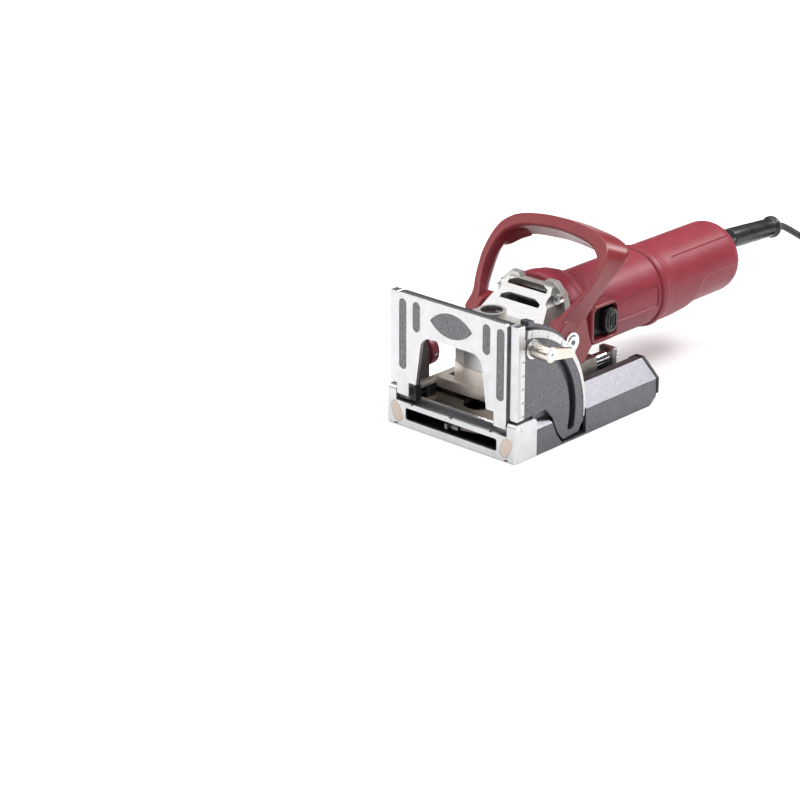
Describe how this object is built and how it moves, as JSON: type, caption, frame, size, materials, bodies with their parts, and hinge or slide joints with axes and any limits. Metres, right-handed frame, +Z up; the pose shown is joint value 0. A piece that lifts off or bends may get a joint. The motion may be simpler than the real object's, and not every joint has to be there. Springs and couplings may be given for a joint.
{
  "type": "biscuit joiner",
  "caption": "Plate joiner with swivelling fence, plunging motor on guide rods, disc cutter, loop handle, slide switch and coiled mains cord.",
  "frame": {"origin": "middle of the lower edge of the front working face, on the plane of the sole", "axes": "+Z up from the sole, -Y forward out of the working face, the motor towards +Y, +X to the side of the angle quadrant and its lever"},
  "size_m": [0.1464, 0.582, 0.1375],
  "materials": {
    "silver": "satin, vertically brushed",
    "anthracite": "fine speckled powder coat",
    "nickel": "satin nickel, slightly warm",
    "chrome": "polished",
    "steel": "machined",
    "zinc": "bright zinc plate",
    "cast": "fine sand-cast with machined faces",
    "red_plastic": "fine-textured glass-filled plastic",
    "black_plastic": "moulded",
    "pad": "matt",
    "rubber": "smooth, half gloss",
    "scale": "anodised, black marks",
    "spring": "drawn wire",
    "copper": "turned copper",
    "carbon": "pressed carbon",
    "blade": "dark coated steel with carbide tips"
  },
  "bodies": {
    "base": {"front_plate": "silver", "grip_pads": "pad", "base_housing": "anthracite", "dust_ducts": "anthracite", "sole_plate": "steel", "sole_screws": "zinc", "deck_plate": "nickel", "sight_strip": "silver", "side_rails": "nickel", "guide_rods": "chrome", "rod_brackets": "anthracite", "return_springs": "spring", "rear_caps": "black_plastic", "clamp_bracket": "anthracite", "clamp_stud": "steel", "clamp_washer": "zinc", "turret_bracket": "anthracite", "turret_shaft": "steel", "hinge_pins": "steel"},
    "fence": {"fence_plate": "silver", "fence_inserts": "anthracite", "fence_badge": "anthracite", "fence_carrier": "anthracite", "fence_rails": "silver", "stop_block": "black_plastic", "quadrant": "anthracite", "angle_scale": "scale", "height_scale": "scale", "fence_screws": "zinc"},
    "lever": {"clamp_lever": "nickel", "clamp_lever_screw": "zinc"},
    "turret": {"depth_turret": "red_plastic"},
    "machine": {"carriage": "nickel", "spindle_guard": "nickel", "gear_housing": "cast", "gear_housing_screws": "zinc", "handle": "red_plastic", "handle_screws": "zinc", "motor_housing": "red_plastic", "rear_housing": "red_plastic", "stator": "steel", "brushes": "carbon", "switch_body": "black_plastic", "cord_gland": "rubber", "strain_relief": "rubber", "cord": "rubber", "cord_coil": "rubber", "plug": "rubber", "depth_stop_rod": "steel", "bearings": "steel"},
    "armature": {"armature": "steel", "commutator": "copper", "fan": "black_plastic", "pinion": "steel"},
    "cutter": {"spindle": "steel", "crown_gear": "steel", "cutter": "blade", "cutter_nut": "steel"},
    "switch": {"switch_slider": "black_plastic"},
    "button": {"spindle_lock_button": "black_plastic"}
  },
  "joints": [
    {"name": "plunge_slide", "type": "slide", "parent": "base", "child": "machine", "axis": [0, -1, 0], "range_m": [0, 0.0215], "stiffness_N_per_m": 500, "springref_m": -0.01, "deforming": ["return_springs"]},
    {"name": "fence_swivel", "type": "hinge", "parent": "base", "child": "fence", "pos_m": [0, 0.005, 0.0242], "axis": [1, 0, 0], "range_deg": [0, 90]},
    {"name": "clamp_lever_turn", "type": "hinge", "parent": "base", "child": "lever", "pos_m": [0.0606, 0.01765, 0.0808], "axis": [1, 0, 0], "range_deg": [0, 120]},
    {"name": "turret_turn", "type": "hinge", "parent": "base", "child": "turret", "pos_m": [-0.058, 0.038, 0.045], "axis": [0, 1, 0], "continuous": true},
    {"name": "armature_spin", "type": "hinge", "parent": "machine", "child": "armature", "pos_m": [0, 0.1, 0.064], "axis": [0, 1, 0], "continuous": true},
    {"name": "cutter_spin", "type": "hinge", "parent": "machine", "child": "cutter", "pos_m": [0, 0.0515, 0.01], "axis": [0, 0, 1], "continuous": true},
    {"name": "switch_slide", "type": "slide", "parent": "machine", "child": "switch", "axis": [0, -1, 0], "range_m": [0, 0.008]},
    {"name": "button_press", "type": "slide", "parent": "machine", "child": "button", "axis": [0, 0, -1], "range_m": [0, 0.003], "stiffness_N_per_m": 600, "springref_m": -0.002}
  ],
  "couplings": [
    {"joint": "cutter_spin", "follows": "armature_spin", "ratio": 0.36667}
  ]
}
